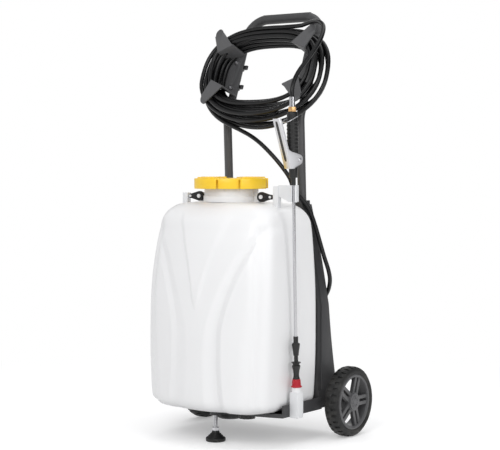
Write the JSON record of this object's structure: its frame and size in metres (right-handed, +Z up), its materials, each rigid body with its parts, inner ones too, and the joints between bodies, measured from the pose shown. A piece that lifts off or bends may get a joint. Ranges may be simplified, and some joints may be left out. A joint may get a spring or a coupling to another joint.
{
  "type": "wheeled sprayer cart",
  "caption": "Wheeled spray cart: moulded tank with screw lid on a tray chassis, tube handle with a coiled hose on brackets, trigger lance in a side clip, battery pump behind.",
  "frame": {"origin": "centre of the bounding box's base, on the floor", "axes": "+Z up, -Y the cart's front, where the tank and the foot are, +X the side that carries the lance"},
  "size_m": [0.503, 0.4299, 1.0886],
  "materials": {
    "frame": "moulded, fine grain",
    "frame_small": "moulded, satin",
    "grip": "moulded, satin",
    "rim": "moulded, satin",
    "tube": "powder coat, semi-gloss",
    "holder": "textured powder coat",
    "white": "smooth moulding, slightly waxy",
    "white_small": "smooth moulding",
    "yellow": "smooth, glossy",
    "tyre": "block tread",
    "rubber": "smooth",
    "hose": "smooth, satin",
    "steel": "zinc plated",
    "bright": "polished stainless",
    "brass": "turned",
    "black": "moulded, satin",
    "red": "moulded",
    "motor": "drawn can",
    "battery": "moulded case"
  },
  "bodies": {
    "chassis": {"base_tray": "frame", "back_frame": "frame", "handle_leg_left": "tube", "handle_leg_right": "tube", "handle_bends": "tube", "handle_top": "tube", "grip_sleeve": "grip", "socket_bolts": "steel", "axle": "steel", "axle_clips": "steel", "tank": "white", "tank_neck": "white_small", "tank_lugs": "white_small", "strainer": "black", "neck_collar": "white_small", "strap_left": "rubber", "strap_right": "rubber", "lance_clip": "white_small", "nozzle_rest": "white_small", "holder_left": "holder", "holder_right": "holder", "holder_clamps": "frame_small", "holder_screws": "steel", "rear_housing": "frame", "battery_pack": "battery", "pump_head": "black", "pump_motor": "motor", "sump_bowl": "black", "suction_pipe": "rubber", "delivery_pipe": "rubber", "outlet_fitting": "brass", "charge_socket": "black", "drain_cap": "black", "hose_coil": "hose", "hose_feed": "hose", "hose_end": "hose"},
    "lid": {"lid": "yellow", "lid_gasket": "rubber"},
    "left_wheel": {"left_tyre": "tyre", "left_rim": "rim", "left_hub_cap": "rim"},
    "right_wheel": {"right_tyre": "tyre", "right_rim": "rim", "right_hub_cap": "rim"},
    "foot": {"foot_stud": "steel", "foot_pad": "rubber"},
    "lance": {"lance_grip": "black", "tube_nut": "black", "spray_tube": "bright", "nozzle_coupler": "black", "nozzle_body": "black", "nozzle_tip": "white_small", "hose_ferrule": "bright", "hose_nut": "brass"},
    "cap": {"nozzle_cap": "red"},
    "trigger": {"trigger_lever": "bright"},
    "bail": {"lock_bail": "bright"},
    "door": {"battery_door": "frame_small"},
    "switch": {"power_switch": "red"},
    "knob": {"pressure_knob": "black"}
  },
  "joints": [
    {"name": "left_wheel_spin", "type": "hinge", "parent": "chassis", "child": "left_wheel", "pos_m": [-0.2315, 0.126, 0.089], "axis": [1, 0, 0], "continuous": true},
    {"name": "right_wheel_spin", "type": "hinge", "parent": "chassis", "child": "right_wheel", "pos_m": [0.2315, 0.126, 0.089], "axis": [1, 0, 0], "continuous": true},
    {"name": "lid_lift", "type": "slide", "parent": "chassis", "child": "lid", "axis": [0, 0, 1], "range_m": [0, 0.06]},
    {"name": "foot_screw", "type": "slide", "parent": "chassis", "child": "foot", "axis": [0, 0, 1], "range_m": [-0.008, 0.002]},
    {"name": "lance_lift", "type": "slide", "parent": "chassis", "child": "lance", "axis": [0, -0.0288, 0.9996], "range_m": [0, 0.06], "deforming": ["hose_end"]},
    {"name": "nozzle_turn", "type": "hinge", "parent": "lance", "child": "cap", "pos_m": [0.207, -0.07229, 0.158], "axis": [0, -0.0288, 0.9996], "range_deg": [0, 540]},
    {"name": "trigger_squeeze", "type": "hinge", "parent": "lance", "child": "trigger", "pos_m": [0.21042, -0.07859, 0.70304], "axis": [-0.9397, 0.3419, 0.0098], "range_deg": [0, 11], "stiffness_Nm_per_rad": 1.5, "springref_deg": -5.73},
    {"name": "bail_swing", "type": "hinge", "parent": "lance", "child": "bail", "pos_m": [0.20905, -0.08537, 0.80789], "axis": [-0.9397, 0.3419, 0.0098], "range_deg": [-15, 10]},
    {"name": "battery_door_hinge", "type": "hinge", "parent": "chassis", "child": "door", "pos_m": [0, 0.157, 0.3], "axis": [1, 0, 0], "range_deg": [0, 110]},
    {"name": "switch_rock", "type": "hinge", "parent": "chassis", "child": "switch", "pos_m": [-0.055, 0.1485, 0.156], "axis": [1, 0, 0], "range_deg": [0, 12]},
    {"name": "knob_turn", "type": "hinge", "parent": "chassis", "child": "knob", "pos_m": [0.055, 0.158, 0.156], "axis": [0, 1, 0], "range_deg": [0, 270]}
  ]
}
